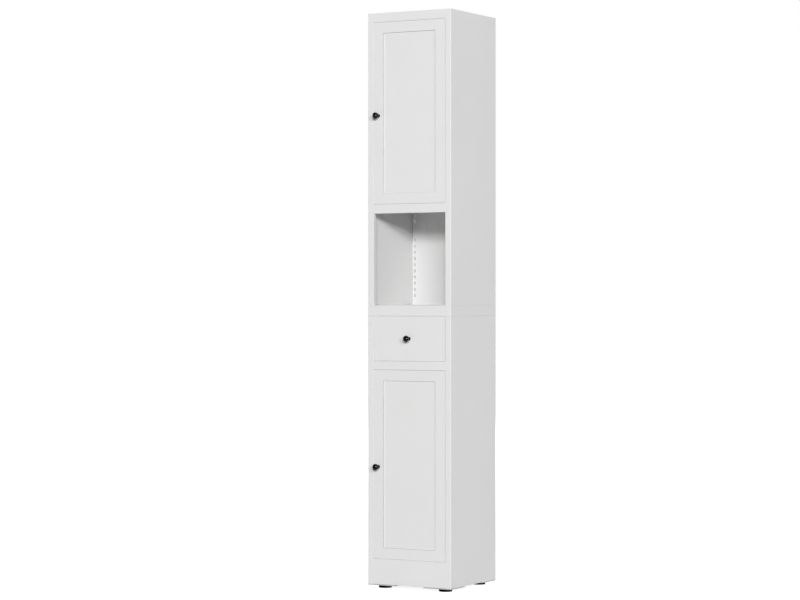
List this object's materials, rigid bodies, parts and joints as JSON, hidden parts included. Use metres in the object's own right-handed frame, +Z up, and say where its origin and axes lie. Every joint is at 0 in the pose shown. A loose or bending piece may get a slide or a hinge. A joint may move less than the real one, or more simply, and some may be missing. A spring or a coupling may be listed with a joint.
{
  "type": "tall bathroom cabinet",
  "caption": "Tall narrow sheet-steel cabinet with an upper and a lower door, an open niche and a drawer, on round levelling feet.",
  "frame": {"origin": "bottom centre of the bounding box, with knobs and rear screw heads counted, on the floor", "axes": "+Z up, +X to the right as seen from the front, the front faces -Y"},
  "size_m": [0.295, 0.3322, 1.8],
  "materials": {
    "body": "white powder coat, satin",
    "fronts": "white powder coat, satin",
    "inner_steel": "white powder coat, satin",
    "corner_plates": "light grey coat, matt",
    "feet": "moulded, fine matt grain",
    "knobs": "moulded, high gloss",
    "fasteners": "bright zinc plate",
    "hinge_pins": "bright drawn steel",
    "hinge_blocks": "natural nylon",
    "runners": "zinc plate",
    "ball_cages": "plain steel, oiled",
    "catch_housings": "moulded, satin",
    "catch_magnets": "sintered, dull"
  },
  "bodies": {
    "cabinet": {"upper_left_side": "body", "upper_right_side": "body", "upper_back": "body", "top_panel": "body", "niche_header": "body", "niche_floor": "body", "lower_left_side": "body", "lower_right_side": "body", "lower_back": "body", "lower_cap": "body", "drawer_divider": "body", "base_panel": "body", "front_left_foot_plate": "corner_plates", "front_right_foot_plate": "corner_plates", "rear_left_foot_plate": "corner_plates", "rear_right_foot_plate": "corner_plates", "foot_nuts": "fasteners", "upper_hinge_pins": "hinge_pins", "lower_hinge_pins": "hinge_pins", "catch_housings": "catch_housings", "catch_magnets": "catch_magnets", "upper_shelf": "inner_steel", "upper_shelf_brackets": "inner_steel", "lower_shelf": "inner_steel", "lower_shelf_brackets": "inner_steel", "left_runner_outer": "runners", "right_runner_outer": "runners", "left_runner_bracket": "inner_steel", "right_runner_bracket": "inner_steel", "joining_bolts": "fasteners", "joining_nuts": "fasteners", "body_screws": "fasteners"},
    "upper_door": {"upper_door": "fronts", "upper_door_stiffener": "fronts", "upper_door_hinge_blocks": "hinge_blocks", "upper_door_knob": "knobs", "upper_door_knob_screw": "fasteners"},
    "lower_door": {"lower_door": "fronts", "lower_door_stiffener": "fronts", "lower_door_hinge_blocks": "hinge_blocks", "lower_door_knob": "knobs", "lower_door_knob_screw": "fasteners"},
    "drawer": {"drawer_front": "fronts", "drawer_tray": "inner_steel", "drawer_knob": "knobs", "drawer_knob_screw": "fasteners", "drawer_screws": "fasteners", "left_runner_inner": "runners", "right_runner_inner": "runners"},
    "left_ball_cage": {"left_ball_cage": "ball_cages"},
    "right_ball_cage": {"right_ball_cage": "ball_cages"},
    "front_left_foot": {"front_left_foot": "feet"},
    "front_right_foot": {"front_right_foot": "feet"},
    "rear_left_foot": {"rear_left_foot": "feet"},
    "rear_right_foot": {"rear_right_foot": "feet"}
  },
  "joints": [
    {"name": "upper_door_hinge", "type": "hinge", "parent": "cabinet", "child": "upper_door", "pos_m": [0.1117, -0.1331, 1.4865], "axis": [0, 0, 1], "range_deg": [0, 120]},
    {"name": "lower_door_hinge", "type": "hinge", "parent": "cabinet", "child": "lower_door", "pos_m": [0.1117, -0.1331, 0.389], "axis": [0, 0, 1], "range_deg": [0, 120]},
    {"name": "drawer_slide", "type": "slide", "parent": "cabinet", "child": "drawer", "axis": [0, -1, 0], "range_m": [0, 0.175]},
    {"name": "left_cage_roll", "type": "slide", "parent": "cabinet", "child": "left_ball_cage", "axis": [0, -1, 0], "range_m": [0, 0.0875]},
    {"name": "right_cage_roll", "type": "slide", "parent": "cabinet", "child": "right_ball_cage", "axis": [0, -1, 0], "range_m": [0, 0.0875]},
    {"name": "front_left_foot_screw", "type": "slide", "parent": "cabinet", "child": "front_left_foot", "axis": [0, 0, -1], "range_m": [0, 0.01]},
    {"name": "front_right_foot_screw", "type": "slide", "parent": "cabinet", "child": "front_right_foot", "axis": [0, 0, -1], "range_m": [0, 0.01]},
    {"name": "rear_left_foot_screw", "type": "slide", "parent": "cabinet", "child": "rear_left_foot", "axis": [0, 0, -1], "range_m": [0, 0.01]},
    {"name": "rear_right_foot_screw", "type": "slide", "parent": "cabinet", "child": "rear_right_foot", "axis": [0, 0, -1], "range_m": [0, 0.01]}
  ],
  "couplings": [
    {"joint": "left_cage_roll", "follows": "drawer_slide", "ratio": 0.5},
    {"joint": "right_cage_roll", "follows": "drawer_slide", "ratio": 0.5}
  ]
}
